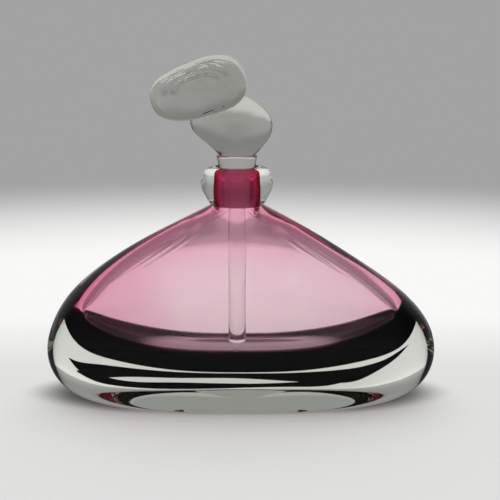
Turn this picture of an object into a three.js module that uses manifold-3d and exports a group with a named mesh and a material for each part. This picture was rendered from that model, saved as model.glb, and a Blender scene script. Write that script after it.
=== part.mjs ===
// Perfume bottle: a flattened, thick-walled glass body with a dark cup and a tinted chamber inside it,
// and a solid glass stopper whose rod hangs in the chamber.
// Millimetres, +Z up. The origin is on the neck's axis in the plane of the base; -Y is the front.

import * as THREE from "three";
import { mergeVertices } from "three/addons/utils/BufferGeometryUtils.js";
import Module from "manifold-3d";

const wasm = await Module();
wasm.setup();

// ---------------------------------------------------------------- dimensions

const GAP = 0.3; // clearance between pieces that touch or nest

const LINING = 0.8; // wall of the tinted lining
const BORE = 4.7; // radius of the neck's bore
const FUNNEL = 6.9; // radius of the mouth, where the bore flares
const FUNNEL_BOTTOM = 80.6;
const MOUTH = 84.2; // height of the mouth
const BORE_BOTTOM = 66; // where the bore has opened into the chamber

const NECK_BOTTOM = 70.7; // the crease between the shoulders and the neck
const NECK = 9.35; // outside radius of the neck
const COLLAR = 12.8; // outside radius of the bead round the neck
const COLLAR_WAIST = 78; // height of its widest place

const PLUG_TOP = 88.4; // the stopper's waist, below its lobes
const PLUG_TOP_RADIUS = 7.3;
const PLUG_MOUTH_RADIUS = 6.5;
const PLUG_TIP_RADIUS = 4.1;
const PLUG_BOTTOM = 70;

const ROD = 3.1;
const ROD_TIP = 17.8; // height of the rod's lowest point

// Each station of a flattened vessel: half width (X), half depth (Y), height (Z).
const BODY = [
  [47, 21.2, 0],
  [54.5, 21.6, 0.8],
  [61, 21.8, 3],
  [66.9, 21.8, 8],
  [70, 21.7, 16.5],
  [69, 21, 24.6],
  [62, 18.9, 36.5],
  [48.1, 16.2, 48.3],
  [29.5, 13.2, 60],
  [18.7, 11.5, 65.8],
  [NECK, NECK, NECK_BOTTOM],
];
const CHAMBER = [
  [0, 0, 16.2],
  [24, 11.6, 16.5],
  [41, 13.2, 18.6],
  [52.5, 13.5, 23.4],
  [57.2, 13.3, 29.5],
  [53.2, 12.7, 36.8],
  [38.8, 11.2, 49.1],
  [18.7, 7.9, 60.9],
  [8.6, 6.1, 66],
  [BORE + LINING, BORE + LINING, 69.5],
];
const DARK_CUP = [
  [0, 0, 12],
  [26, 11.8, 12.6],
  [46, 14.4, 15.8],
  [57, 14.8, 20.6],
  [60.3, 14.6, 26.5],
  [59.5, 14.2, 33],
  [56, 13.4, 38],
];
const DARK_RIM = 19.9; // height of the cup's rim in the middle
const DARK_RIM_TILT = 0.12; // its rise for each millimetre towards the front
const DARK_RIM_RISE = 13.5; // and its rise out to the ends
const DARK_RIM_REACH = 60;

// The floors of the chamber and the cup also rise towards the front, and level off up the wall.
const FLOOR_TILT = 0.06;
const TILT_FROM = 18;
const TILT_TO = 34;

// How much squarer than an ellipse the level sections are: the full amount low down, none at the
// neck's base and above.
const SQUARENESS = 0.65;
const SQUARE_TO = 30;
const ROUND_FROM = 62;

const LEAN = 1.3; // the low part of the body sits this far to +X of the neck, the shoulders as far to -X
const LEAN_FROM = 24;
const LEAN_TO = 52;

// The lower lobe from its foot up: left and right edges, half depth, middle of the depth, height.
// Its level sections turn from round at the foot to squarer by LOBE_SQUARENESS within LOBE_ROUND above it.
const LOWER_LOBE = [
  [-6.5, 6.5, 6.5, 0, PLUG_TOP + GAP],
  [-7.4, 7.6, 6.8, 0, 89.6],
  [-10, 9.8, 7.4, 0.2, 92],
  [-14.6, 12.2, 8.2, 0.4, 96],
  [-16.4, 12.6, 8.4, 0.4, 99.6],
  [-14.6, 10.9, 8.2, 0.2, 103.4],
  [-9.4, 7.6, 7.3, -0.2, 106.4],
  [-3, 4.4, 4.6, -0.6, 108.8],
  [1, 1, 0, -0.6, 109.8],
];
const LOBE_SQUARENESS = 0.7;
const LOBE_ROUND = 8;
const UPPER_LOBE = {
  centre: [-13.4, -1.8, 111.6],
  size: [16.9, 8.4, 9.9], // half sizes
  tilt: 17, // degrees, its +X end up
  square: 2.6,
  flat: 6,
  taper: 0.007,
};

// ------------------------------------------------------------------- helpers

function solid(geometry) {
  const bare = geometry.clone();
  bare.deleteAttribute("normal");
  bare.deleteAttribute("uv");
  const merged = mergeVertices(bare, 1e-4);
  return new wasm.Manifold(
    new wasm.Mesh({
      numProp: 3,
      vertProperties: merged.attributes.position.array,
      triVerts: new Uint32Array(merged.index.array),
    }),
  );
}

function mesh(name, manifold, look) {
  const made = manifold.getMesh();
  const geometry = new THREE.BufferGeometry();
  geometry.setAttribute("position", new THREE.BufferAttribute(made.vertProperties, 3));
  geometry.setIndex(new THREE.BufferAttribute(made.triVerts, 1));
  geometry.computeVertexNormals();
  const part = new THREE.Mesh(geometry, new THREE.MeshStandardMaterial(look));
  part.name = name;
  return part;
}

// Points of a smooth curve through the stations.
function rings(stations, count) {
  const points = stations.map((s) => new THREE.Vector3(...s));
  return new THREE.CatmullRomCurve3(points, false, "centripetal").getPoints(count);
}

// The same rings moved outwards, square to the wall, by the distance. The ring on the axis moves down.
function inflated(list, distance) {
  return list.map((ring, i) => {
    const along = list[Math.min(i + 1, list.length - 1)].clone().sub(list[Math.max(i - 1, 0)]);
    const side = new THREE.Vector2(along.z, -along.x).normalize();
    const front = new THREE.Vector2(along.z, -along.y).normalize();
    if (ring.x === 0) return new THREE.Vector3(0, 0, ring.z - distance);
    return new THREE.Vector3(
      ring.x + distance * side.x,
      ring.y + distance * front.x,
      ring.z + distance * side.y,
    );
  });
}

// How far a level section sits to +X of the neck's axis.
function leanAt(z) {
  return LEAN * (1 - 2 * THREE.MathUtils.smoothstep(z, LEAN_FROM, LEAN_TO)) *
    (1 - THREE.MathUtils.smoothstep(z, LEAN_TO, NECK_BOTTOM));
}

// A point of the superellipse with these half sizes; a higher power is squarer, and 2 makes an ellipse.
function onSuperellipse(turn, width, depth, power) {
  const c = Math.cos(turn);
  const s = Math.sin(turn);
  return [
    width * Math.sign(c) * Math.abs(c) ** (2 / power),
    depth * Math.sign(s) * Math.abs(s) ** (2 / power),
  ];
}

// A closed solid through level sections.
// place(index, turn) gives the point [x, y, z] of a section at a turn.
// The first and last sections are single points.
function stacked(count, segments, place) {
  const profile = Array.from({ length: count }, (_, i) => new THREE.Vector2(1, i));
  const geometry = new THREE.LatheGeometry(profile, segments);
  const position = geometry.attributes.position;
  for (let i = 0; i < position.count; i += 1) {
    const turn = (2 * Math.PI * (Math.floor(i / count) % segments)) / segments;
    position.setXYZ(i, ...place(i % count, turn));
  }
  return outward(solid(geometry), geometry);
}

// A vessel whose sections turn from squarish at the bottom to round at the neck.
// tilt is how much its low sections rise for each millimetre towards the front.
function vessel(list, segments, tilt = 0) {
  return stacked(list.length, segments, (index, turn) => {
    const ring = list[index];
    const power = 2 + SQUARENESS * (1 - THREE.MathUtils.smoothstep(ring.z, SQUARE_TO, ROUND_FROM));
    const [x, y] = onSuperellipse(turn, ring.x, ring.y, power);
    const rise = -tilt * y * (1 - THREE.MathUtils.smoothstep(ring.z, TILT_FROM, TILT_TO));
    return [x + leanAt(ring.z), y, ring.z + rise];
  });
}

// The solid itself, or the same surface turned the right way out.
function outward(made, geometry) {
  if (made.volume() > 0) return made;
  const index = geometry.index.array;
  for (let i = 0; i < index.length; i += 3) [index[i + 1], index[i + 2]] = [index[i + 2], index[i + 1]];
  return solid(geometry);
}

// A body of revolution about the neck's axis from [radius, height] pairs or Vector2 points.
function turned(points, segments) {
  const profile = points.map((p) => (p.isVector2 ? p : new THREE.Vector2(...p)));
  const geometry = new THREE.LatheGeometry(profile, segments);
  geometry.rotateX(Math.PI / 2);
  return outward(solid(geometry), geometry);
}

// A rounded lump of glass, tilted in the XZ plane. square shapes its outline and flat its faces, as powers of a
// superellipsoid, and taper thickens it along its long side.
function lump(form, extra, across, around) {
  const geometry = new THREE.SphereGeometry(1, around, across);
  geometry.rotateZ(Math.PI / 2); // the poles go to the ends of the long side
  const position = geometry.attributes.position;
  const point = new THREE.Vector3();
  for (let i = 0; i < position.count; i += 1) {
    point.fromBufferAttribute(position, i);
    const powers = Math.abs(point.x) ** form.square + Math.abs(point.z) ** form.square;
    const outline = powers ** (1 / form.square);
    point.multiplyScalar((outline ** form.flat + Math.abs(point.y) ** form.flat) ** (-1 / form.flat));
    const x = point.x * (form.size[0] + extra);
    const swell = 1 + form.taper * x;
    const y = point.y * (form.size[1] + extra) * swell;
    const z = point.z * (form.size[2] + extra) * swell;
    position.setXYZ(i, x, y, z);
  }
  geometry.rotateY(-THREE.MathUtils.degToRad(form.tilt));
  geometry.translate(...form.centre);
  return outward(solid(geometry), geometry);
}

// ------------------------------------------------------------- bottle pieces

const BODY_RINGS = rings(BODY, 24);
const LINING_RINGS = rings(CHAMBER, 18);
const CUP_RINGS = rings(DARK_CUP, 11);
const AROUND_BODY = 64;
const AROUND_CHAMBER = 48;
const AROUND_NECK = 40;

// The bore with its flared mouth, grown by the distance.
function bore(distance, from, to) {
  const neck = BORE + distance;
  return turned(
    [
      [0, from],
      [neck, from],
      [neck, FUNNEL_BOTTOM - distance * 0.5],
      [FUNNEL + distance, MOUTH],
      [FUNNEL + distance, to],
      [0, to],
    ],
    AROUND_NECK,
  );
}

// The chamber's shape, grown by the distance from the lining's outside and closed at the top of the
// shoulders.
function chamber(distance) {
  const list = distance === 0 ? LINING_RINGS : inflated(LINING_RINGS, distance);
  const top = list[list.length - 1];
  return vessel([...list, new THREE.Vector3(0, 0, top.z)], AROUND_CHAMBER, FLOOR_TILT);
}

// Everything under the cup's rim, which rises towards both ends and the front.
function underRim(lift) {
  const shape = new THREE.Shape();
  const steps = 24;
  const far = 80; // beyond the body on every side
  const under = -5;
  shape.moveTo(-far, under);
  for (let i = 0; i <= steps; i += 1) {
    const x = far * ((2 * i) / steps - 1);
    shape.lineTo(x, DARK_RIM + lift + DARK_RIM_RISE * (Math.abs(x) / DARK_RIM_REACH) ** 3);
  }
  shape.lineTo(far, under);
  const geometry = new THREE.ExtrudeGeometry(shape, { depth: far, bevelEnabled: false });
  geometry.rotateX(Math.PI / 2);
  geometry.translate(0, far / 2, 0);
  const sheared = new THREE.Matrix4().set(1, 0, 0, 0, 0, 1, 0, 0, 0, -DARK_RIM_TILT, 1, 0, 0, 0, 0, 1);
  geometry.applyMatrix4(sheared);
  return outward(solid(geometry), geometry);
}

// The cup's shape before the chamber is cut out of it, grown by the distance.
function darkCup(distance) {
  const list = distance === 0 ? CUP_RINGS : inflated(CUP_RINGS, distance);
  const top = list[list.length - 1];
  return vessel([...list, new THREE.Vector3(0, 0, top.z)], AROUND_CHAMBER, FLOOR_TILT)
    .intersect(underRim(distance * 1.3));
}

function clearCasing() {
  const outside = vessel(
    [new THREE.Vector3(0, 0, 0), ...BODY_RINGS, new THREE.Vector3(0, 0, NECK_BOTTOM)],
    AROUND_BODY,
  );
  const buried = NECK_BOTTOM - 4; // the neck starts inside the shoulders
  const neck = turned([[0, buried], [NECK, buried], [NECK, MOUTH], [0, MOUTH]], AROUND_NECK);
  return outside
    .add(neck)
    .subtract(chamber(GAP))
    .subtract(darkCup(GAP))
    .subtract(bore(LINING + GAP, BORE_BOTTOM, MOUTH + 1));
}

function cranberryLining() {
  return chamber(0)
    .add(bore(LINING, BORE_BOTTOM, MOUTH))
    .subtract(chamber(-LINING))
    .subtract(bore(0, BORE_BOTTOM - 4, MOUTH + 1));
}

function darkOverlay() {
  return darkCup(0).subtract(chamber(GAP));
}

function neckCollar() {
  const inside = NECK + GAP;
  const bottom = NECK_BOTTOM + 0.9;
  const top = MOUTH - 0.3;
  const points = [new THREE.Vector2(inside, bottom)];
  const bulge = new THREE.SplineCurve([
    new THREE.Vector2(inside + 0.5, bottom),
    new THREE.Vector2(COLLAR - 0.6, COLLAR_WAIST - 3),
    new THREE.Vector2(COLLAR, COLLAR_WAIST),
    new THREE.Vector2(COLLAR - 0.9, COLLAR_WAIST + 3.8),
    new THREE.Vector2(inside + 0.6, top),
  ]);
  points.push(...bulge.getPoints(10), new THREE.Vector2(inside, top), new THREE.Vector2(inside, bottom));
  return turned(points, AROUND_NECK);
}

// ------------------------------------------------------------ stopper pieces

function groundPlug() {
  return turned(
    [
      [0, PLUG_BOTTOM],
      [PLUG_TIP_RADIUS - 0.4, PLUG_BOTTOM],
      [PLUG_TIP_RADIUS, PLUG_BOTTOM + 0.4],
      [BORE - 0.35, FUNNEL_BOTTOM],
      [PLUG_MOUTH_RADIUS, MOUTH],
      [PLUG_MOUTH_RADIUS + 0.1, MOUTH + 1.2],
      [PLUG_TOP_RADIUS, PLUG_TOP - 0.3],
      [PLUG_TOP_RADIUS - 0.2, PLUG_TOP],
      [0, PLUG_TOP],
    ],
    AROUND_NECK,
  );
}

function dauberRod() {
  const tip = new THREE.Path().absarc(0, ROD_TIP + ROD, ROD, -Math.PI / 2, 0, false).getPoints(6);
  tip[0].x = 0;
  return turned([...tip, [ROD, PLUG_BOTTOM - GAP], [0, PLUG_BOTTOM - GAP]], 20);
}

function upperLobe(extra) {
  return lump(UPPER_LOBE, extra, 24, 32);
}

function lowerLobe() {
  const foot = LOWER_LOBE[0][4];
  const steps = 20;
  const last = LOWER_LOBE.length - 1;
  const columns = LOWER_LOBE[0].length;
  const curve = new THREE.CubicInterpolant(LOWER_LOBE.map((_, i) => i), LOWER_LOBE.flat(), columns);
  const rows = Array.from({ length: steps + 1 }, (_, i) => [...curve.evaluate((last * i) / steps)]);
  const whole = stacked(rows.length + 1, AROUND_NECK, (index, turn) => {
    if (index === 0) return [0, 0, foot];
    const [left, right, depth, middle, z] = rows[index - 1];
    const power = 2 + LOBE_SQUARENESS * THREE.MathUtils.smoothstep(z, foot, foot + LOBE_ROUND);
    const [x, y] = onSuperellipse(turn, (right - left) / 2, depth, power);
    return [(left + right) / 2 + x, middle + y, z];
  });
  const clearance = GAP + 0.05; // a little over, for the facets of the two lobes
  return whole.subtract(upperLobe(clearance));
}

// ------------------------------------------------------------------ assembly

const clear = { color: 0xdfe4df, roughness: 0.05, metalness: 0 };

const bottle = new THREE.Group();
bottle.add(
  mesh("clear_casing", clearCasing(), clear),
  mesh("dark_overlay", darkOverlay(), { color: 0x1a1017, roughness: 0.06, metalness: 0 }),
  mesh("cranberry_lining", cranberryLining(), { color: 0xd9829f, roughness: 0.06, metalness: 0 }),
  mesh("neck_collar", neckCollar(), clear),
  mesh("ground_plug", groundPlug(), { color: 0xe6e8e6, roughness: 0.5, metalness: 0 }),
  mesh("dauber_rod", dauberRod(), { color: 0xe9e2e2, roughness: 0.35, metalness: 0 }),
  mesh("lower_lobe", lowerLobe(), clear),
  mesh("upper_lobe", upperLobe(0), clear),
);

export default bottle;
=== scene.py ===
"""Perfume bottle of cased glass with a folded glass stopper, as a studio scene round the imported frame.

Lengths in the bottle's and the stopper's constants are millimetres. Every piece is a closed solid of
glass. Where two gathers of glass are fused, their facing surfaces let rays straight through; only
surfaces against air bend them.
"""

import math

import bmesh
import bpy
import numpy as np
from mathutils import Matrix, Vector, noise

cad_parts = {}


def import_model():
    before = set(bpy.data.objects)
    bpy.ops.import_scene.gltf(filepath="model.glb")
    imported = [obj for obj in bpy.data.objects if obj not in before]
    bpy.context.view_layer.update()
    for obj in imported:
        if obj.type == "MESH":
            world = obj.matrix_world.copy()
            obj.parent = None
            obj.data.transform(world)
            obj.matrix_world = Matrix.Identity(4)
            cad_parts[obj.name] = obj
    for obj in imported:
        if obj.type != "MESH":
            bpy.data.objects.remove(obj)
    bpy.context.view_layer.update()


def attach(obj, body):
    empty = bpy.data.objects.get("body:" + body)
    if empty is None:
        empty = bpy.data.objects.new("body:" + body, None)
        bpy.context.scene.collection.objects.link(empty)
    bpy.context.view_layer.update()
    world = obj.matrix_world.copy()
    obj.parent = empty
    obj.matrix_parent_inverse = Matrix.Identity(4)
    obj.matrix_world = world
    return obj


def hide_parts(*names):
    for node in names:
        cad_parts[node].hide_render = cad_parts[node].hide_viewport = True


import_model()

MM = 0.001  # metres

# ---------------------------------------------------------------- dimensions

LINING = 0.8  # wall of the pink lining
SKIN = 0.08  # the hair's breadth between fused surfaces, so that none coincide

# Radii and heights of the neck, which is round.
BORE = 4.7
FUNNEL = 6.9  # the bore's flared mouth
FUNNEL_BOTTOM = 80.6
MOUTH = 84.2
NECK_BOTTOM = 70.7
NECK = 9.35
RIM = (FUNNEL + LINING + SKIN, MOUTH + 0.1)  # the edge of the casing's mouth, as (radius, height)
LIP = (FUNNEL + 0.35, MOUTH + 0.12)  # and the lining's
BAND = 0.3  # height of the band between the chamber and the bore
COLLAR = 12.8
COLLAR_MIDDLE = 78.0

PLUG_BOTTOM = 70.0
PLUG_TIP = 4.1
SEAT = 6.45  # radius of the ground seat at the mouth
SHANK = 7.3
WAIST = 88.5  # the groove between the shank and the lower lobe
WAIST_RADIUS = 6.5

ROD = 3.1
ROD_TIP = 17.8

# Stations of the flattened vessels: half width, half depth, height.
BODY = [
    (47, 21.2, 0),
    (54.5, 21.6, 0.8),
    (61, 21.8, 3),
    (66.9, 21.8, 8),
    (70, 21.7, 16.5),
    (69, 21, 24.6),
    (62, 18.9, 36.5),
    (48.1, 16.2, 48.3),
    (29.5, 13.2, 60),
    (18.7, 11.5, 65.8),
    (NECK, NECK, NECK_BOTTOM),
]
CHAMBER = [
    (0, 0, 16.2),
    (24, 11.6, 16.5),
    (41, 13.2, 18.6),
    (52.5, 13.5, 23.4),
    (57.2, 13.3, 29.5),
    (53.2, 12.7, 36.8),
    (38.8, 11.2, 49.1),
    (18.7, 7.9, 60.9),
    (8.6, 6.1, 66),
    (BORE + LINING, BORE + LINING, 69.5),
]
DARK_CUP = [
    (0, 0, 12),
    (26, 11.8, 12.6),
    (46, 14.4, 15.8),
    (57, 14.8, 20.6),
    (60.3, 14.6, 26.5),
    (59.5, 14.2, 33),
    (56, 13.4, 38),
]
DARK_RIM = 19.9  # height of the cup's rim at the middle
DARK_RIM_TILT = 0.12  # the rim stands higher at the front
DARK_RIM_RISE = 13.5  # and towards both ends, by this at the reach
DARK_RIM_REACH = 60.0
DARK_RIM_EDGE = 1.6  # the cup's colour comes in over this depth under the rim

# The vessels' level sections are squarer than an ellipse low down, and ellipses higher up.
SQUARENESS = 0.65
SQUARE_TO = 30.0
ROUND_FROM = 62.0

# The chamber's floor also stands higher at the front, and levels off up the wall.
FLOOR_TILT = 0.06
TILT_FROM = 18.0
TILT_TO = 34.0

# Trails of dark glass in the clear, under the cup: x, lower edge, upper edge.
UPPER_TRAIL = [
    (-59, 17.2, 17.2),
    (-55, 13, 16.2),
    (-49, 11.4, 16),
    (-41, 11.9, 15.6),
    (-24, 12.2, 14.5),
    (0, 12.2, 14),
    (24, 10.6, 14.2),
    (35, 10, 14.7),
    (42, 10.6, 15.3),
    (47, 12.6, 16.2),
    (52, 15.2, 17.6),
    (56.5, 18.2, 19.8),
    (60, 21.6, 21.6),
]
LOWER_TRAIL = [
    (-56, 12.6, 13.2),
    (-50, 10, 12.6),
    (-43, 8.8, 11.2),
    (-24, 8.2, 10.6),
    (0, 8.7, 10.3),
    (20, 9, 10.7),
    (33, 9.4, 11.2),
    (40, 11, 11),
]
TRAIL_WIDTH = 64.0  # half the width and depth of the path that the trails follow, in plan
TRAIL_DEPTH = 17.3
TRAIL_POWER = 2.35  # how square the path is, as a superellipse's power
TRAIL = 0.5  # thickness

LEAN = 1.3  # the low part of the body sits this far to +X of the neck, the shoulders as far to -X
LEAN_FROM = 24.0
LEAN_TO = 52.0

# Hand-made unevenness of the glass: how far it moves the surface, and the size of its waves.
BODY_WAVES = (0.25, 26)
CHAMBER_WAVES = (0.3, 22)
LOBE_WAVES = (0.3, 7)

# The lower lobe, from its foot up: left, right, half depth, middle of the depth, height.
LOWER_LOBE = [
    (-WAIST_RADIUS, WAIST_RADIUS, WAIST_RADIUS, 0, WAIST),
    (-7.4, 7.6, 6.8, 0, 89.6),
    (-10, 9.8, 7.4, 0.2, 92),
    (-14.6, 12.2, 8.2, 0.4, 96),
    (-16.4, 12.6, 8.4, 0.4, 99.6),
    (-14.6, 10.9, 8.2, 0.2, 103.4),
    (-9.4, 7.6, 7.3, -0.2, 106.4),
    (-3, 4.4, 4.6, -0.6, 108.8),
    (1, 1, 0, -0.6, 109.8),
]
LOBE_SQUARENESS = 0.7  # its level sections turn from round at the foot to squarer by this
LOBE_ROUND = 8.0  # within this height of the foot

UPPER_LOBE = {
    "centre": (-13.4, -1.8, 111.6),
    "size": (16.9, 8.4, 9.9),  # half length, half depth, half height
    "tilt": 17,  # degrees
    "square": 2.6,  # powers of its outline and of its depth, as a superellipsoid
    "flat": 6.0,
    "taper": 0.007,  # it thickens by this for each millimetre along its length
}
# Folds left in the upper lobe's skin: how far out towards the rim they lie and half their width, as
# shares of the way; their height; and how far up the lobe they start, from -1 at its bottom to 1.
LOBE_FOLDS = [(0.5, 0.045, 0.35, 0.1), (0.68, 0.045, 0.45, 0.1), (0.85, 0.03, 0.16, -2.0)]
FOLD_RISE = 0.7  # they reach their height over this

AROUND = 256  # facets round the flattened vessels and the neck
CREASE = math.radians(35)  # edges sharper than this stay sharp


# ------------------------------------------------------------------- shaping


def spline(stations, count):
    """Points on the smooth curve (natural cubic spline) through the stations, evenly spaced."""
    p = np.array(stations, dtype=float)
    t = np.concatenate([[0], np.cumsum(np.linalg.norm(np.diff(p, axis=0), axis=1))])
    h = np.diff(t)
    n = len(p)
    a = np.eye(n)
    b = np.zeros_like(p)
    for i in range(1, n - 1):
        a[i, i - 1 : i + 2] = h[i - 1], 2 * (h[i - 1] + h[i]), h[i]
        b[i] = 6 * ((p[i + 1] - p[i]) / h[i] - (p[i] - p[i - 1]) / h[i - 1])
    bend = np.linalg.solve(a, b)
    s = np.linspace(0, t[-1], count)
    k = np.clip(np.searchsorted(t, s, side="right") - 1, 0, n - 2)
    left = (t[k + 1] - s)[:, None]
    right = (s - t[k])[:, None]
    hk = h[k][:, None]
    return (
        bend[k] * left**3 / (6 * hk)
        + bend[k + 1] * right**3 / (6 * hk)
        + (p[k] / hk - bend[k] * hk / 6) * left
        + (p[k + 1] / hk - bend[k + 1] * hk / 6) * right
    )


def smooth(x, low, high):
    t = np.clip((x - low) / (high - low), 0, 1)
    return t * t * (3 - 2 * t)


def lean_at(z):
    return LEAN * (1 - 2 * smooth(z, LEAN_FROM, LEAN_TO)) * (1 - smooth(z, LEAN_TO, NECK_BOTTOM))


def superellipse(turn, power):
    """Points of a unit superellipse in a plane: power 2 is a circle, more is squarer."""
    c, s = np.cos(turn), np.sin(turn)
    return np.sign(c) * np.abs(c) ** (2 / power), np.sign(s) * np.abs(s) ** (2 / power)


def grown(rings, distance):
    """The same rings moved square to the wall, outwards by the distance."""
    along = np.gradient(rings, axis=0)
    side = along[:, [2, 0]] / np.hypot(along[:, 2], along[:, 0])[:, None]
    front = along[:, 2] / np.hypot(along[:, 2], along[:, 1])
    out = rings.copy()
    off_axis = rings[:, 0] > 1e-6
    out[off_axis, 0] += distance * side[off_axis, 0]
    out[off_axis, 1] += distance * front[off_axis]
    out[off_axis, 2] -= distance * side[off_axis, 1]
    out[~off_axis, 2] -= distance
    return out


def level(ring, tilt=0.0):
    """The points of one level section of a vessel: squarish below, round at the neck.

    tilt is how much the low sections rise for each millimetre towards the front.
    """
    width, depth, z = ring
    turn = np.arange(AROUND) * 2 * math.pi / AROUND
    power = 2 + SQUARENESS * (1 - smooth(z, SQUARE_TO, ROUND_FROM))
    x, y = superellipse(turn, power)
    x = width * x + lean_at(z)
    y = depth * y
    rise = -tilt * y * (1 - smooth(z, TILT_FROM, TILT_TO))
    return np.stack([x, y, z + rise], axis=1)


def levels(rings, tilt=0.0):
    return [level(ring, tilt) for ring in rings]


def circles(profile, around=AROUND):
    """Level circles about the neck's axis, one for each (radius, height)."""
    turn = np.arange(around) * 2 * math.pi / around
    flat = np.stack([np.cos(turn), np.sin(turn)], axis=1)
    return [np.column_stack([r * flat, np.full(around, z)]) for r, z in profile]


def between(start, end, steps):
    """Steps from one (radius, height) to another, without the start."""
    return [tuple(np.array(start) + (np.array(end) - start) * i / steps) for i in range(1, steps + 1)]


def pole(x, y, z):
    return np.array([[x, y, z]], dtype=float)


def loft(name, sections, bands, materials, closed=False):
    """A closed solid through the sections, from pole to pole, or round from last to first if closed.

    bands gives the material index of the faces that follow each section.
    """
    verts = np.concatenate(sections) * MM
    starts = np.concatenate([[0], np.cumsum([len(s) for s in sections])])
    faces, looks = [], []
    pairs = list(range(len(sections) - 1)) + ([len(sections) - 1] if closed else [])
    for i in pairs:
        j = (i + 1) % len(sections)
        low, high = len(sections[i]), len(sections[j])
        a, b = starts[i], starts[j]
        for k in range(max(low, high)):
            n = k + 1
            if low == 1:
                faces.append((a, b + n % high, b + k))
            elif high == 1:
                faces.append((a + k, a + n % low, b))
            else:
                faces.append((a + k, a + n % low, b + n % high, b + k))
            looks.append(bands[i])
    return solid(name, verts, faces, looks, materials)


def solid(name, verts, faces, looks, materials):
    mesh = bpy.data.meshes.new(name)
    mesh.from_pydata([tuple(map(float, v)) for v in verts], [], [tuple(map(int, f)) for f in faces])
    mesh.polygons.foreach_set("material_index", looks)
    tidy = bmesh.new()
    tidy.from_mesh(mesh)
    bmesh.ops.recalc_face_normals(tidy, faces=tidy.faces)
    tidy.to_mesh(mesh)
    tidy.free()
    obj = bpy.data.objects.new(name, mesh)
    bpy.context.scene.collection.objects.link(obj)
    for material in materials:
        mesh.materials.append(material)
    mesh.shade_smooth()
    mesh.set_sharp_from_angle(angle=CREASE)
    return obj


def ripple(sections, waves, fade):
    """Moves each point out from the middle of its section by smooth noise, faded with height."""
    amount, scale = waves
    out = []
    for section in sections:
        if len(section) == 1:
            out.append(section)
            continue
        middle = section.mean(axis=0)
        moved = section.copy()
        for i, p in enumerate(section):
            away = p - middle
            away /= max(np.linalg.norm(away), 1e-6)
            moved[i] += away * amount * fade(p[2]) * noise.noise(Vector(p / scale))
        out.append(moved)
    return out


def place(obj, body, slot, *nodes):
    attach(obj, body)
    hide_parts(*nodes)
    return obj


# ----------------------------------------------------------------- materials


class Nodes:
    """A short way to write a node tree."""

    def __init__(self, tree):
        self.tree = tree
        tree.nodes.clear()

    def new(self, kind, **settings):
        node = self.tree.nodes.new(kind)
        for key, value in settings.items():
            setattr(node, key, value)
        return node

    def join(self, source, target):
        self.tree.links.new(source, target)

    def put(self, value, target):
        """value into target: a link from a socket, or a plain value."""
        if isinstance(value, bpy.types.NodeSocket):
            self.join(value, target)
        else:
            target.default_value = value

    def math(self, operation, a, b=0.0):
        node = self.new("ShaderNodeMath", operation=operation)
        for value, socket in zip((a, b), node.inputs):
            self.put(value, socket)
        return node.outputs[0]

    def colour(self, r, g, b):
        node = self.new("ShaderNodeCombineColor")
        for value, socket in zip((r, g, b), node.inputs):
            self.put(value, socket)
        return node.outputs[0]

    def shader_mix(self, factor, a, b):
        node = self.new("ShaderNodeMixShader")
        self.put(factor, node.inputs[0])
        self.join(a, node.inputs[1])
        self.join(b, node.inputs[2])
        return node.outputs[0]

    def noise(self, scale):
        place_node = self.new("ShaderNodeTexCoord")
        node = self.new("ShaderNodeTexNoise")
        node.inputs["Scale"].default_value = scale
        self.join(place_node.outputs["Object"], node.inputs["Vector"])
        return node.outputs[0]

    def ramp(self, value, low, high, to_low, to_high, kind="SMOOTHSTEP"):
        """Goes from to_low to to_high as value goes from low to high, and stays there beyond."""
        node = self.new("ShaderNodeMapRange", interpolation_type=kind)
        for v, socket in zip((value, low, high, to_low, to_high), node.inputs):
            self.put(v, socket)
        return node.outputs[0]


ABSORB = (6.0, 5.2, 7.4)  # clear glass darkens by these per metre of glass
DEEPEST = 0.07  # metres of glass after which it darkens no further
LOBE_ABSORB = (33.0, 32.0, 37.0)
LOBE_DEEPEST = 0.025
GLASS_IOR = 1.5
STEEPEST = 0.12  # cosine of the slant beyond which a tinted wall gets no deeper
CLEAR_SHADE = 0.82  # share of the light for the floor that one clear surface passes
FOLD_DEPTH = 0.00018  # metres, of the folds in the chamber's shoulders
SHEEN_TINT = (1.0, 0.86, 0.9)
SHEEN_ROUGHNESS = 0.06


def material(name):
    made = bpy.data.materials.new(name)
    made.use_nodes = True
    return made, Nodes(made.node_tree)


def glass_colour(n, absorb, deepest):
    """White on the way in; on the way out, darker by the length of glass crossed, up to deepest."""
    path = n.new("ShaderNodeLightPath")
    inside = n.new("ShaderNodeNewGeometry").outputs["Backfacing"]
    length = n.math("MINIMUM", path.outputs["Ray Length"], deepest)
    depth = n.math("MULTIPLY", length, inside)
    return n.colour(*[n.math("EXPONENT", n.math("MULTIPLY", depth, -a)) for a in absorb])


def light_ray(n):
    """1 for rays that carry light to a matt surface, which pass straight through glass here."""
    path = n.new("ShaderNodeLightPath")
    return n.math("MAXIMUM", path.outputs["Is Shadow Ray"], path.outputs["Is Diffuse Ray"])


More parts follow.
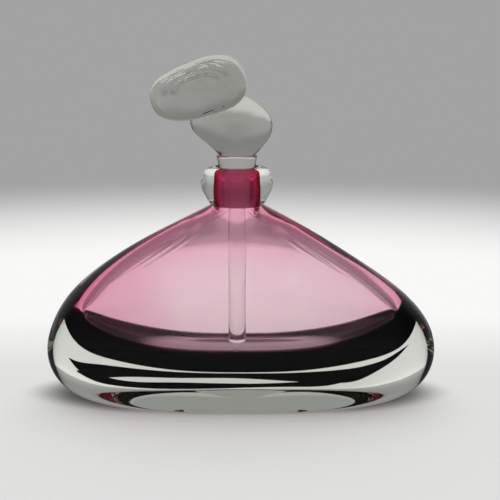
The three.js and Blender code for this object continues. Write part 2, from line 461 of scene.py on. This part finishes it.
def clear_glass(
    name,
    roughness=0.0,
    ripple_scale=120.0,
    ripple_height=0.00002,
    absorb=ABSORB,
    deepest=DEEPEST,
    shade=CLEAR_SHADE,
    joined=None,
    sheen=None,
    folds=None,
):
    """Glass against air. Light for the floor passes straight through it, a little dimmed.

    joined makes a socket for the share of the surface that lets rays straight through, where two
    ground faces touch.
    sheen makes a socket for the share of the surface that mirrors what it faces.
    folds makes a socket for the height of folds in the surface, 1 at their crests.
    """
    made, n = material(name)
    glass = n.new("ShaderNodeBsdfGlass")
    glass.inputs["IOR"].default_value = GLASS_IOR
    n.put(roughness, glass.inputs["Roughness"])
    n.join(glass_colour(n, absorb, deepest), glass.inputs["Color"])
    bump = n.new("ShaderNodeBump")
    bump.inputs["Distance"].default_value = ripple_height
    n.join(n.noise(ripple_scale), bump.inputs["Height"])
    if folds:
        fold_bump = n.new("ShaderNodeBump")
        fold_bump.inputs["Distance"].default_value = FOLD_DEPTH
        n.join(folds(n), fold_bump.inputs["Height"])
        n.join(bump.outputs[0], fold_bump.inputs["Normal"])
        bump = fold_bump
    n.join(bump.outputs[0], glass.inputs["Normal"])
    surface = glass.outputs[0]
    if sheen:
        mirror = n.new("ShaderNodeBsdfGlossy")
        mirror.inputs["Color"].default_value = (*SHEEN_TINT, 1)
        mirror.inputs["Roughness"].default_value = SHEEN_ROUGHNESS
        surface = n.shader_mix(sheen(n), surface, mirror.outputs[0])
    through = n.new("ShaderNodeBsdfTransparent")
    through.inputs["Color"].default_value = (shade, shade, shade * 0.99, 1)
    straight = n.math("MAXIMUM", light_ray(n), joined(n)) if joined else light_ray(n)
    out = n.new("ShaderNodeOutputMaterial")
    n.join(n.shader_mix(straight, surface, through.outputs[0]), out.inputs["Surface"])
    return made


def fused(name, layers=(), shade=(1.0, 1.0, 1.0)):
    """Where glass is fused to glass: nothing bends, and a slanting ray is tinted more deeply.

    Each layer is a tint for one square crossing and a function that makes a socket for how much of
    it there is.
    Light for the floor is tinted by shade alone.
    """
    made, n = material(name)
    through = n.new("ShaderNodeBsdfTransparent")
    out = n.new("ShaderNodeOutputMaterial")
    if not layers:
        n.join(through.outputs[0], out.inputs["Surface"])
        return made
    geometry = n.new("ShaderNodeNewGeometry")
    dot = n.new("ShaderNodeVectorMath", operation="DOT_PRODUCT")
    n.join(geometry.outputs["Normal"], dot.inputs[0])
    n.join(geometry.outputs["Incoming"], dot.inputs[1])
    facing = n.math("MAXIMUM", n.math("ABSOLUTE", dot.outputs["Value"]), STEEPEST)
    left = [1.0, 1.0, 1.0]
    for tint, amount in layers:
        walls = n.math("DIVIDE", amount(n), facing)
        left = [n.math("MULTIPLY", l, n.math("POWER", t, walls)) for l, t in zip(left, tint)]
    n.join(n.colour(*left), through.inputs["Color"])
    lamp = n.new("ShaderNodeBsdfTransparent")
    lamp.inputs["Color"].default_value = (*shade, 1)
    n.join(n.shader_mix(light_ray(n), through.outputs[0], lamp.outputs[0]), out.inputs["Surface"])
    return made


def where(n, axis):
    """The point's place along an axis."""
    split = n.new("ShaderNodeSeparateXYZ")
    n.join(n.new("ShaderNodeTexCoord").outputs["Object"], split.inputs[0])
    return split.outputs["XYZ".index(axis)]


def pink_amount(n):
    """The blown lining is thinnest low in the chamber and thickens towards the neck and both ends."""
    shoulder = n.ramp(where(n, "Z"), 38.0 * MM, 66.0 * MM, 1.0, 1.9)
    left_end = n.ramp(where(n, "X"), -52.0 * MM, -14.0 * MM, 1.0, 0.0)
    right_end = n.ramp(where(n, "X"), 25.0 * MM, 55.0 * MM, 0.0, 0.4)
    amount = n.math("ADD", shoulder, n.math("ADD", left_end, right_end))
    return n.math("MULTIPLY", amount, n.ramp(n.noise(60.0), 0.3, 0.7, 0.92, 1.08))


def floor_sheen(n):
    """The chamber's floor catches the light off the wall behind it."""
    levelled = n.math("ADD", where(n, "Z"), n.math("MULTIPLY", where(n, "Y"), FLOOR_TILT))
    return n.ramp(levelled, 17.5 * MM, 18.8 * MM, 0.95, 0.0)


def seat_contact(n):
    """Up in the flared mouth the stopper's ground seat bears on the lining."""
    return n.ramp(where(n, "Z"), 79.0 * MM, 81.0 * MM, 0.0, 0.85)


def neck_amount(n):
    """The neck's extra depth of colour, strongest half way up."""
    up = where(n, "Z")
    start = n.ramp(up, 69.5 * MM, 71.0 * MM, 0.0, 0.5)
    middle = n.ramp(up, 71.0 * MM, 77.0 * MM, 0.0, 0.22)
    mouth = n.ramp(up, 79.5 * MM, 82.0 * MM, 0.0, 0.5)
    return n.math("SUBTRACT", n.math("ADD", start, middle), mouth)


# Folds that run down the shoulders inside the chamber: how far in from its edge, and half width.
SHOULDER_FOLDS = [(1.0, 0.7), (3.6, 0.7)]


def shoulder_folds(n):
    """How high the folds blown into the lining are. They follow the chamber's edge down the shoulders."""
    up = where(n, "Z")
    (low_edge, _, low), (high_edge, _, high) = CHAMBER[5], CHAMBER[8]
    edge = n.ramp(up, low * MM, high * MM, low_edge * MM, high_edge * MM, "LINEAR")
    inward = n.math("SUBTRACT", edge, n.math("ABSOLUTE", where(n, "X")))
    total = 0.0
    for middle, width in SHOULDER_FOLDS:
        off = n.math("DIVIDE", n.math("SUBTRACT", inward, middle * MM), width * MM)
        crest = n.math("EXPONENT", n.math("MULTIPLY", n.math("MULTIPLY", off, off), -1.0))
        total = n.math("ADD", total, crest)
    return n.math("MULTIPLY", total, n.ramp(up, 40.0 * MM, 56.0 * MM, 0.0, 0.6))


def everywhere(n):
    return 1.0


def rim_strength(n):
    """The dark cup thins out to nothing at its rim."""
    attribute = n.new("ShaderNodeAttribute", attribute_name="depth_below_rim")
    return n.ramp(attribute.outputs["Fac"], 0.0, 1.0, 0.15, 1.0)


CLEAR = clear_glass("clear_glass")
LOBE = clear_glass("lobe_glass", ripple_height=0.0003, absorb=LOBE_ABSORB, deepest=LOBE_DEEPEST)
CLEAR_LINING = clear_glass(
    "lining_inside",
    ripple_scale=90.0,
    ripple_height=0.00003,
    joined=seat_contact,
    sheen=floor_sheen,
    folds=shoulder_folds,
)
JOIN = fused("fused_join")
WAIST_JOIN = fused("waist_join", [((0.3, 0.27, 0.28), everywhere)], (0.95, 0.95, 0.95))
PINK = fused(
    "cranberry_tint",
    [((0.985, 0.828, 0.892), pink_amount), ((0.78, 0.33, 0.47), neck_amount)],
    (1.0, 0.92, 0.94),
)
TRAIL_DARK = fused("trail_tint", [((0.02, 0.006, 0.012), everywhere)], (0.6, 0.56, 0.58))
DARK = fused("amethyst_tint", [((0.010, 0.003, 0.006), rim_strength)], (0.58, 0.54, 0.56))
GROUND = clear_glass("ground_seat", roughness=0.35, shade=0.93, joined=lambda n: 0.82)
MILKY = clear_glass("rod_glass", roughness=0.12)


# -------------------------------------------------------------------- bottle


def bore_profile(distance, down_to):
    """(radius, height) down the bore from the mouth, grown by the distance."""
    neck = BORE + distance
    lip = (FUNNEL + distance, MOUTH)
    corner = (neck, FUNNEL_BOTTOM)
    return [lip] + between(lip, corner, 10) + between(corner, (neck, down_to), 24)


def chamber_levels(distance):
    """The chamber's wall from the neck down to the floor, grown by the distance from the lining's
    outside, and the ring it starts from.
    """
    rings = spline(CHAMBER, 150)
    rings[0] = CHAMBER[0]
    rings = grown(rings, distance) if distance else rings
    rings = rings[::-1]
    top = rings[0]
    rings = rings[rings[:, 2] < top[2] + 1e-6]
    sections = levels(rings[:-1], FLOOR_TILT) + [pole(lean_at(rings[-1][2]), 0, rings[-1][2])]
    return sections, top


def body_fade(z):
    """No waves at the ground base nor at the neck."""
    return float(smooth(z, 0.5, 6) * (1 - smooth(z, 58, 68)))


def chamber_fade(z):
    """No waves where the chamber narrows to the bore."""
    return float(1 - smooth(z, 52, 64))


def casing():
    skin = ripple(levels(spline(BODY, 170)), BODY_WAVES, body_fade)
    neck = circles(between((NECK, NECK_BOTTOM), (NECK, MOUTH), 6))
    rim = circles([RIM])
    wall, top = chamber_levels(SKIN)
    inside = circles(bore_profile(LINING + SKIN, top[2] + BAND))[1:]
    wall = ripple(wall, CHAMBER_WAVES, chamber_fade)
    # the cavity also holds the dark cup, which is inside the glass and needs no wall of its own here
    sections = [pole(lean_at(0), 0, 0)] + skin + neck + rim + inside + wall
    bands = [0] * len(skin) + [1] * len(neck) + [0] + [1] * (len(inside) + len(wall))
    return loft("casing_glass", sections, bands, [CLEAR, JOIN])


def lining():
    outer, top = chamber_levels(0)
    inner, inner_top = chamber_levels(-LINING)
    outside = ripple(outer[::-1], CHAMBER_WAVES, chamber_fade)
    neck_out = circles(bore_profile(LINING, top[2] + BAND))[::-1]
    lip = circles([LIP])
    neck_in = circles(bore_profile(0, inner_top[2] + BAND))
    inner = ripple(inner, CHAMBER_WAVES, chamber_fade)
    sections = outside + neck_out + lip + neck_in + inner
    joined = len(outside) + len(neck_out) - 1
    bands = [0] * joined + [1] * (len(sections) - joined - 1)
    return loft("lining_glass", sections, bands, [PINK, CLEAR_LINING])


def rim_height(points):
    rise = DARK_RIM_RISE * (np.abs(points[:, 0]) / DARK_RIM_REACH) ** 3
    return DARK_RIM + rise - DARK_RIM_TILT * points[:, 1]


def cup_wall(rings, count):
    """Sections of a cup cut off at the rim: count points up each meridian, from the axis to the rim."""
    dense = np.array(levels(rings, FLOOR_TILT))
    out = np.zeros((count, AROUND, 3))
    for k in range(AROUND):
        line = dense[:, k]
        above = line[:, 2] - rim_height(line)
        last = np.nonzero(above > 0)[0][0]
        end = last - 1 + above[last - 1] / (above[last - 1] - above[last])
        at = np.linspace(0, end, count)
        low = np.clip(at.astype(int), 0, len(line) - 2)
        part = (at - low)[:, None]
        out[:, k] = line[low] * (1 - part) + line[low + 1] * part
    return out


def overlay():
    outer = cup_wall(spline(DARK_CUP, 200), 48)
    inner = cup_wall(grown(spline(CHAMBER, 200), SKIN), 48)
    low, high = DARK_CUP[0][2], CHAMBER[0][2]
    sections = [pole(lean_at(low), 0, low)] + list(outer[1:]) + list(inner[1:][::-1])
    sections.append(pole(lean_at(high), 0, high - SKIN))
    bands = [0] * len(outer[1:]) + [1] * (len(sections) - len(outer[1:]) - 1)
    obj = loft("overlay_glass", sections, bands, [DARK, JOIN])
    values = obj.data.attributes.new("depth_below_rim", "FLOAT", "POINT")
    points = np.array([v.co for v in obj.data.vertices]) / MM
    below = rim_height(points) - points[:, 2]
    values.data.foreach_set("value", np.clip(below / DARK_RIM_EDGE, 0, 1))
    return obj


def trail(name, rows):
    """A thin curved blade of dark glass through the rows, in front of the cup, pointed at both ends."""
    around = 24
    turn = np.arange(around) * 2 * math.pi / around
    sections = []
    for x, low, high in spline(rows, 90):
        y = -TRAIL_DEPTH * (1 - (abs(x) / TRAIL_WIDTH) ** TRAIL_POWER) ** (1 / TRAIL_POWER)
        half = max((high - low) / 2, 0.02)
        thick = TRAIL / 2 * min(1.0, half)
        middle = (low + high) / 2
        ring = [np.full(around, x), y + thick * np.cos(turn), middle + half * np.sin(turn)]
        sections.append(np.stack(ring, axis=1))
    ends = [pole(*sections[0].mean(axis=0)), pole(*sections[-1].mean(axis=0))]
    sections = ends[:1] + sections + ends[1:]
    return loft(name, sections, [0] * (len(sections) - 1), [TRAIL_DARK])


def collar():
    bulge = spline(
        [
            (NECK, 0, NECK_BOTTOM),
            (COLLAR - 1.5, 0, COLLAR_MIDDLE - 3.9),
            (COLLAR, 0, COLLAR_MIDDLE),
            (COLLAR - 0.9, 0, COLLAR_MIDDLE + 3.8),
            (NECK + 1.0, 0, MOUTH - 0.25),
            (NECK, 0, MOUTH),
        ],
        48,
    )
    outside = circles([(r, z) for r, _, z in bulge])
    inside = circles(between((NECK, MOUTH), (NECK, NECK_BOTTOM), 6)[:-1])
    bands = [0] * (len(outside) - 1) + [1] * (len(inside) + 1)
    return loft("collar_glass", outside + inside, bands, [CLEAR, JOIN], closed=True)


# ------------------------------------------------------------------- stopper


def plug():
    tip = [(ROD, PLUG_BOTTOM), (PLUG_TIP - 0.35, PLUG_BOTTOM), (PLUG_TIP, PLUG_BOTTOM + 0.35)]
    ground = between(tip[-1], (BORE - 0.1, FUNNEL_BOTTOM), 16)
    seat = between(ground[-1], (SEAT, MOUTH), 6)
    shank = between(seat[-1], (SHANK - 0.1, WAIST - 0.9), 8) + [
        (SHANK, WAIST - 0.5),
        (SHANK - 0.15, WAIST - 0.2),
        (WAIST_RADIUS, WAIST - SKIN),
    ]
    sections = [pole(0, 0, PLUG_BOTTOM)] + circles(tip + ground + seat + shank, 128)
    sections.append(pole(0, 0, WAIST - SKIN))
    bands = [2] + [1] * (2 + len(ground) + len(seat)) + [0] * len(shank) + [2]
    return loft("plug_glass", sections, bands, [CLEAR, GROUND, WAIST_JOIN])


def rod():
    turns = np.linspace(-math.pi / 2, 0, 13)[1:]
    tip = [(ROD * math.cos(t), ROD_TIP + ROD + ROD * math.sin(t)) for t in turns]
    side = between(tip[-1], (ROD, PLUG_BOTTOM), 40)
    sections = [pole(0, 0, ROD_TIP)] + circles(tip + side, 96) + [pole(0, 0, PLUG_BOTTOM)]
    bands = [0] * (len(sections) - 2) + [1]
    return loft("rod_glass", sections, bands, [MILKY, JOIN])


def lump(name, form, folds):
    """A superellipsoid that tapers along its long side, with folds, tilted in the XZ plane."""
    across, around = 160, 160  # its facets along the long side and round it
    size = np.array(form["size"])
    square, flat = form["square"], form["flat"]
    tilt = Matrix.Rotation(-math.radians(form["tilt"]), 3, "Y")
    sections = []
    for i in range(across + 1):
        angle = math.pi * i / across
        turn = np.arange(around) * 2 * math.pi / around if 0 < i < across else np.zeros(1)
        unit = np.stack([
            np.full(len(turn), -math.cos(angle)),
            math.sin(angle) * np.cos(turn),
            math.sin(angle) * np.sin(turn),
        ], axis=1)
        outline = (np.abs(unit[:, 0]) ** square + np.abs(unit[:, 2]) ** square) ** (1 / square)
        reach = (outline**flat + np.abs(unit[:, 1]) ** flat) ** (-1 / flat)
        p = unit * reach[:, None] * size
        out = outline * reach
        up = unit[:, 2] / np.maximum(outline, 1e-6)
        for reach_out, width, tall, start in folds:
            ridge = np.exp(-(((out - reach_out) / width) ** 2))
            ridge *= tall * smooth(up, start, start + FOLD_RISE)
            p[:, 1] += np.sign(unit[:, 1]) * ridge
        p[:, 1:] *= 1 + form["taper"] * p[:, :1]
        sections.append(p @ np.array(tilt).T + np.array(form["centre"]))
    sections = ripple(sections, LOBE_WAVES, lambda z: 1.0)
    return loft(name, sections, [0] * across, [LOBE, JOIN])


def lower_lump():
    rows = spline(LOWER_LOBE, 90)
    around = 96
    turn = np.arange(around) * 2 * math.pi / around
    sections = [pole(0, 0, WAIST)]
    for left, right, depth, middle, z in rows[:-1]:
        power = 2 + LOBE_SQUARENESS * smooth(z, WAIST, WAIST + LOBE_ROUND)
        x, y = superellipse(turn, power)
        x = (left + right) / 2 + (right - left) / 2 * x
        sections.append(np.stack([x, middle + depth * y, np.full(around, z)], axis=1))
    sections.append(pole(rows[-1][0], rows[-1][3], rows[-1][4]))
    sections = ripple(sections, LOBE_WAVES, lambda z: float(smooth(z, WAIST, WAIST + 3)))
    return loft("lower_lobe_glass", sections, [1] + [0] * (len(sections) - 2), [LOBE, JOIN])


def keep_two_looks(mesh):
    while len(mesh.materials) > 2:
        mesh.materials.pop()


def combined(first, second, operation):
    """The mesh of first with the operation done by second. Faces from second have index 2 or 3."""
    for polygon in second.data.polygons:
        polygon.material_index += 2
    second.data.materials.append(LOBE)
    second.data.materials.append(JOIN)
    modifier = first.modifiers.new("cut", "BOOLEAN")
    modifier.operation = operation
    modifier.solver = "EXACT"
    modifier.object = second
    modifier.material_mode = "INDEX"
    first.data.materials.append(LOBE)
    first.data.materials.append(JOIN)
    bpy.context.view_layer.update()
    made = bpy.data.meshes.new_from_object(first.evaluated_get(bpy.context.evaluated_depsgraph_get()))
    first.modifiers.remove(modifier)
    keep_two_looks(first.data)
    for polygon in second.data.polygons:
        polygon.material_index -= 2
    keep_two_looks(second.data)
    return made


def finial():
    lower = lower_lump()
    upper = lump("upper_lobe_glass", UPPER_LOBE, LOBE_FOLDS)
    carved = combined(lower, upper, "DIFFERENCE")
    outside = combined(upper, lower, "DIFFERENCE")
    within = combined(upper, lower, "INTERSECT")
    fuse(upper, outside, within)
    for polygon in carved.polygons:
        polygon.material_index = min(polygon.material_index, 1)
    keep_two_looks(carved)
    lower.data = carved
    for lobe in (lower, upper):
        lobe.data.shade_smooth()
        lobe.data.set_sharp_from_angle(angle=CREASE)
    return lower, upper


def fuse(upper, outside, within):
    """Gives upper its whole surface again, split where the other lobe covers it, which is a join."""
    whole = bmesh.new()
    for mesh, look in ((outside, 0), (within, 1)):
        part = bmesh.new()
        part.from_mesh(mesh)
        bmesh.ops.delete(part, geom=[f for f in part.faces if f.material_index >= 2], context="FACES")
        for face in part.faces:
            face.material_index = look
        kept = bpy.data.meshes.new("kept")
        part.to_mesh(kept)
        part.free()
        whole.from_mesh(kept)
        bpy.data.meshes.remove(kept)
    bmesh.ops.remove_doubles(whole, verts=whole.verts, dist=1e-7)
    bmesh.ops.recalc_face_normals(whole, faces=whole.faces)
    mesh = bpy.data.meshes.new("upper_lobe_glass")
    whole.to_mesh(mesh)
    whole.free()
    mesh.materials.append(LOBE)
    mesh.materials.append(JOIN)
    upper.data = mesh


place(casing(), "bottle", "clear_glass", "clear_casing")
place(lining(), "bottle", "cranberry_glass", "cranberry_lining")
place(overlay(), "bottle", "dark_glass", "dark_overlay")
place(trail("upper_trail", UPPER_TRAIL), "bottle", "dark_glass", "dark_overlay")
place(trail("lower_trail", LOWER_TRAIL), "bottle", "dark_glass", "dark_overlay")
place(collar(), "bottle", "clear_glass", "neck_collar")
place(plug(), "stopper_stem", "ground_glass", "ground_plug")
place(rod(), "stopper_stem", "rod_glass", "dauber_rod")
lower_lobe, upper_lobe = finial()
place(lower_lobe, "stopper_finial", "clear_glass", "lower_lobe")
place(upper_lobe, "stopper_finial", "clear_glass", "upper_lobe")

# --------------------------------------------------------------------- stage

# Metres from here on.
GREY = 0.366  # the backdrop
GLOW = 0.5  # it is brighter by this share low down, as the glass sees it
KEY = 3.35  # the overhead light, as it falls on matt surfaces
KEY_LEAN = math.radians(18)
CARD = 0.55  # the same light, as it shows in the glass
CARD_LEAN = math.radians(32)

FLOOR_RADIUS = 0.9
FADE_FROM = 0.26  # the paper floor fades into the backdrop between these distances
FADE_TO = 0.62
PAPER = (0.86, 0.88)  # its lightness, from grain to grain
PAINTED_SHADE_NEAR = 0.8  # painted shade: the paper has this share of its lightness in front of the bottle
PAINTED_SHADE_MIRRORED = 0.2  # painted shade: and this share where the glass mirrors it
# Painted shade on the paper, darkest under the bottle's two ends: the half width, half depth and place of
# the painted shade.
PAINTED_SHADE = 0.8
PAINTED_SHADE_WIDTH = 0.077
PAINTED_SHADE_DEPTH = 0.029
PAINTED_SHADE_BACK = 0.006

EYE = (0.0046, -0.411, 0.134)
AIM = (0.0046, 0, 0.0542)
LENS = 84.2


def painted_end_shade(n):
    """How much painted shade darkens the paper at each end of the bottle, where its sides overhang."""
    x, y = where(n, "X"), where(n, "Y")
    across = n.math("DIVIDE", x, PAINTED_SHADE_WIDTH)
    along = n.math("DIVIDE", n.math("SUBTRACT", y, PAINTED_SHADE_BACK), PAINTED_SHADE_DEPTH)
    squares = n.math("ADD", n.math("MULTIPLY", across, across), n.math("MULTIPLY", along, along))
    under = n.ramp(n.math("SQRT", squares), 0.78, 1.06, PAINTED_SHADE, 0.0)
    ends = n.ramp(n.math("ABSOLUTE", x), 0.025, 0.045, 0.0, 1.0)
    return n.math("MULTIPLY", under, ends)


def floor():
    """A round sheet of pale paper that fades into the backdrop, with painted shade in front of the
    bottle, under its two ends and where the glass mirrors it.
    """
    made, n = material("paper_floor")
    place_node = n.new("ShaderNodeTexCoord")
    distance = n.new("ShaderNodeVectorMath", operation="LENGTH")
    n.join(place_node.outputs["Object"], distance.inputs[0])
    paper = n.new("ShaderNodeBsdfDiffuse")
    grain = n.ramp(n.noise(900.0), 0.3, 0.7, *PAPER)
    # painted shade: the paper's colour is darker in front of the bottle
    painted_front_shade = n.ramp(where(n, "Y"), 0.02, 0.13, PAINTED_SHADE_NEAR, 1.0)
    # painted shade: the paper's colour is darkened under the bottle's two ends and in front of it
    light = n.math("MULTIPLY", painted_front_shade, n.math("SUBTRACT", 1.0, painted_end_shade(n)))
    path = n.new("ShaderNodeLightPath")
    # painted shade: the paper's colour is darker in what the glass mirrors
    mirrored_painted_shade = n.ramp(path.outputs["Is Reflection Ray"], 0.0, 1.0, 1.0, PAINTED_SHADE_MIRRORED, "LINEAR")
    grain_and_painted_shade = n.math("MULTIPLY", n.math("MULTIPLY", grain, light), mirrored_painted_shade)
    n.join(n.colour(grain_and_painted_shade, grain_and_painted_shade, n.math("MULTIPLY", grain_and_painted_shade, 0.992)), paper.inputs["Color"])
    through = n.new("ShaderNodeBsdfTransparent")
    away = n.ramp(distance.outputs["Value"], FADE_FROM, FADE_TO, 0.0, 1.0)
    out = n.new("ShaderNodeOutputMaterial")
    n.join(n.shader_mix(away, paper.outputs[0], through.outputs[0]), out.inputs["Surface"])
    mesh = bpy.data.meshes.new("floor")
    sheet = bmesh.new()
    bmesh.ops.create_circle(sheet, cap_ends=True, segments=128, radius=FLOOR_RADIUS)
    sheet.to_mesh(mesh)
    sheet.free()
    obj = bpy.data.objects.new("floor", mesh)
    bpy.context.scene.collection.objects.link(obj)
    obj.location.z = -0.0002
    mesh.materials.append(made)


def lamp(n, up, ahead, lean, strength):
    """A soft round light overhead that leans away from the camera by the angle."""
    level_part = n.math("MULTIPLY", ahead, math.sin(lean))
    toward = n.math("ADD", n.math("MULTIPLY", up, math.cos(lean)), level_part)
    return n.math("MULTIPLY", n.ramp(toward, 0.6, 0.95, 0.0, 1.0), strength)


def world():
    """Grey ahead of the camera, a broad soft light above, dimmer to both sides and behind the camera."""
    made = bpy.data.worlds.new("studio")
    made.use_nodes = True
    bpy.context.scene.world = made
    n = Nodes(made.node_tree)
    place_node = n.new("ShaderNodeTexCoord")
    split = n.new("ShaderNodeSeparateXYZ")
    n.join(place_node.outputs["Generated"], split.inputs[0])
    turned = n.new("ShaderNodeVectorTransform", vector_type="VECTOR")
    turned.convert_from = "WORLD"
    turned.convert_to = "CAMERA"
    n.join(place_node.outputs["Generated"], turned.inputs[0])
    seen = n.new("ShaderNodeSeparateXYZ")
    n.join(turned.outputs[0], seen.inputs[0])
    # parts of a unit direction, from -1 to 1; right and ahead are as the camera sees it
    up, right, ahead = split.outputs[2], seen.outputs[0], seen.outputs[2]
    right_side = n.ramp(right, 0.6, 0.93, 1.0, 0.5)
    left_side = n.ramp(right, -1.0, -0.8, 0.75, 1.0)
    sides = n.math("MINIMUM", right_side, left_side)
    wall = n.math("MULTIPLY", sides, n.ramp(ahead, -0.25, 0.25, 0.3, 1.0))
    wall = n.math("MULTIPLY", wall, GREY)
    path = n.new("ShaderNodeLightPath")
    in_glass = path.outputs["Is Glossy Ray"]
    on_matt = n.math("SUBTRACT", 1.0, in_glass)
    matt_light = n.math("MULTIPLY", on_matt, lamp(n, up, ahead, KEY_LEAN, KEY))
    glass_light = n.math("MULTIPLY", in_glass, lamp(n, up, ahead, CARD_LEAN, CARD))
    glow = n.ramp(up, -0.1, 0.16, GLOW, 0.0)
    wall = n.math("MULTIPLY", wall, n.math("ADD", 1.0, n.math("MULTIPLY", glow, in_glass)))
    lit = n.math("ADD", matt_light, glass_light)
    seen_light = n.math("MAXIMUM", wall, lit)
    mixed = n.new("ShaderNodeMix", data_type="FLOAT")
    n.join(path.outputs["Is Camera Ray"], mixed.inputs["Factor"])
    n.join(seen_light, mixed.inputs[2])
    mixed.inputs[3].default_value = GREY
    shade = n.new("ShaderNodeBackground")
    n.join(n.colour(mixed.outputs[0], mixed.outputs[0], mixed.outputs[0]), shade.inputs["Color"])
    out = n.new("ShaderNodeOutputWorld")
    n.join(shade.outputs[0], out.inputs["Surface"])


def camera():
    lens = bpy.data.cameras.new("camera")
    lens.sensor_width = 36
    lens.lens = LENS
    eye = bpy.data.objects.new("camera", lens)
    bpy.context.scene.collection.objects.link(eye)
    eye.location = EYE
    eye.rotation_mode = "QUATERNION"
    eye.rotation_quaternion = (Vector(AIM) - eye.location).to_track_quat("-Z", "Y")
    lens.clip_start = 0.01
    lens.clip_end = 20
    bpy.context.scene.camera = eye


floor()
world()
camera()

scene = bpy.context.scene
scene.view_settings.view_transform = "Standard"
scene.cycles.max_bounces = 32
scene.cycles.transmission_bounces = 32
scene.cycles.glossy_bounces = 16
scene.cycles.transparent_max_bounces = 64
